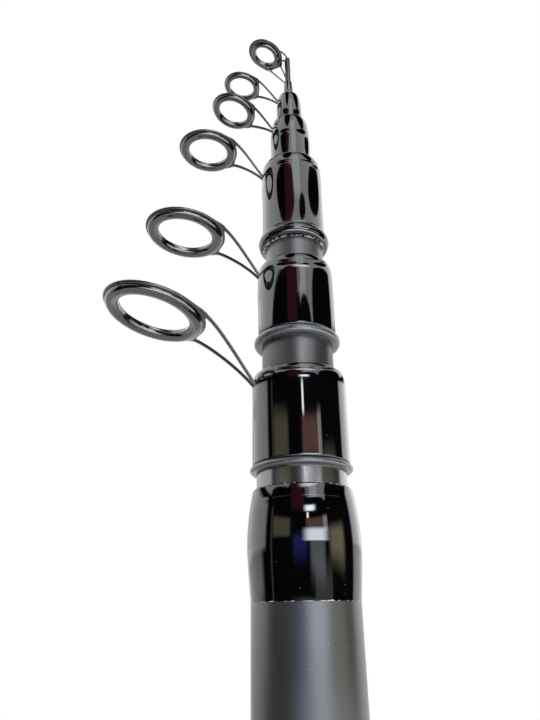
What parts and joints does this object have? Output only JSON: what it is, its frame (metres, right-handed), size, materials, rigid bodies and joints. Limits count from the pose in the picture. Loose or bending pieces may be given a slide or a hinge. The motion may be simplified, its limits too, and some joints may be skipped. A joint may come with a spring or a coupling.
{
  "type": "telescopic fishing rod",
  "caption": "Closed telescopic rod: nested tapered tubes slide out of a gripped butt, each carrying a wrapped line guide; reel seat with sliding hood and lock nut, screw-on butt cap.",
  "frame": {"origin": "centre of the butt end, on the bottom face of the butt cap", "axes": "+Z along the rod axis towards the tip; the guides and the reel foot face -X"},
  "size_m": [0.0698, 0.0368, 0.7083],
  "materials": {
    "blank": "satin",
    "epoxy": "gloss",
    "stop_bead": "satin",
    "guide_metal": "dark polished",
    "guide_ring": "polished",
    "grip_foam": "matte",
    "seat_plastic": "satin",
    "hood_metal": "anodised satin",
    "trim_metal": "turned",
    "cap_plastic": "satin",
    "seal_rubber": "matte"
  },
  "bodies": {
    "butt": {"butt_blank": "blank", "butt_collar": "epoxy", "rear_grip": "grip_foam", "trim_ring": "trim_metal", "fore_grip": "grip_foam", "winding_check": "trim_metal", "reel_seat_body": "seat_plastic", "fixed_hood": "hood_metal", "butt_ferrule": "trim_metal"},
    "hood": {"sliding_hood": "hood_metal"},
    "nut": {"lock_nut": "hood_metal"},
    "cap_seal": {"cap_gasket": "seal_rubber", "bumper_pad": "seal_rubber"},
    "cap": {"butt_cap": "cap_plastic"},
    "section_2": {"section_2_blank": "blank", "section_2_stop_ring": "stop_bead", "section_2_wrap": "epoxy", "section_2_guide_frame": "guide_metal", "section_2_guide_ring": "guide_ring"},
    "section_3": {"section_3_blank": "blank", "section_3_stop_ring": "stop_bead", "section_3_wrap": "epoxy", "section_3_guide_frame": "guide_metal", "section_3_guide_ring": "guide_ring"},
    "section_4": {"section_4_blank": "blank", "section_4_stop_ring": "epoxy", "section_4_wrap": "epoxy", "section_4_guide_frame": "guide_metal", "section_4_guide_ring": "guide_ring"},
    "section_5": {"section_5_blank": "blank", "section_5_wrap": "epoxy", "section_5_guide_frame": "guide_metal", "section_5_guide_ring": "guide_ring"},
    "section_6": {"section_6_blank": "blank", "section_6_wrap": "epoxy", "section_6_guide_frame": "guide_metal", "section_6_guide_ring": "guide_ring"},
    "tip": {"tip_blank": "blank", "tip_wrap": "epoxy", "tip_top_frame": "guide_metal", "tip_top_ring": "guide_ring"}
  },
  "joints": [
    {"name": "section_2_slide", "type": "slide", "parent": "butt", "child": "section_2", "axis": [0, 0, 1], "range_m": [0, 0.4912]},
    {"name": "section_3_slide", "type": "slide", "parent": "section_2", "child": "section_3", "axis": [0, 0, 1], "range_m": [0, 0.5267]},
    {"name": "section_4_slide", "type": "slide", "parent": "section_3", "child": "section_4", "axis": [0, 0, 1], "range_m": [0, 0.5612]},
    {"name": "section_5_slide", "type": "slide", "parent": "section_4", "child": "section_5", "axis": [0, 0, 1], "range_m": [0, 0.5988]},
    {"name": "section_6_slide", "type": "slide", "parent": "section_5", "child": "section_6", "axis": [0, 0, 1], "range_m": [0, 0.6196]},
    {"name": "tip_slide", "type": "slide", "parent": "section_6", "child": "tip", "axis": [0, 0, 1], "range_m": [0, 0.6339]},
    {"name": "hood_slide", "type": "slide", "parent": "butt", "child": "hood", "axis": [0, 0, 1], "range_m": [-0.014, 0.006]},
    {"name": "nut_turn", "type": "hinge", "parent": "hood", "child": "nut", "pos_m": [0, 0, 0.3125], "axis": [0, 0, 1], "range_deg": [-2520, 1080]},
    {"name": "cap_slide", "type": "slide", "parent": "butt", "child": "cap_seal", "axis": [0, 0, 1], "range_m": [-0.0125, 0]},
    {"name": "cap_turn", "type": "hinge", "parent": "cap_seal", "child": "cap", "pos_m": [0, 0, 0.009], "axis": [0, 0, 1], "range_deg": [-1800, 0]}
  ],
  "couplings": [
    {"joint": "hood_slide", "follows": "nut_turn", "m_per_rad": 0.00031831},
    {"joint": "cap_slide", "follows": "cap_turn", "m_per_rad": 0.00039789}
  ]
}
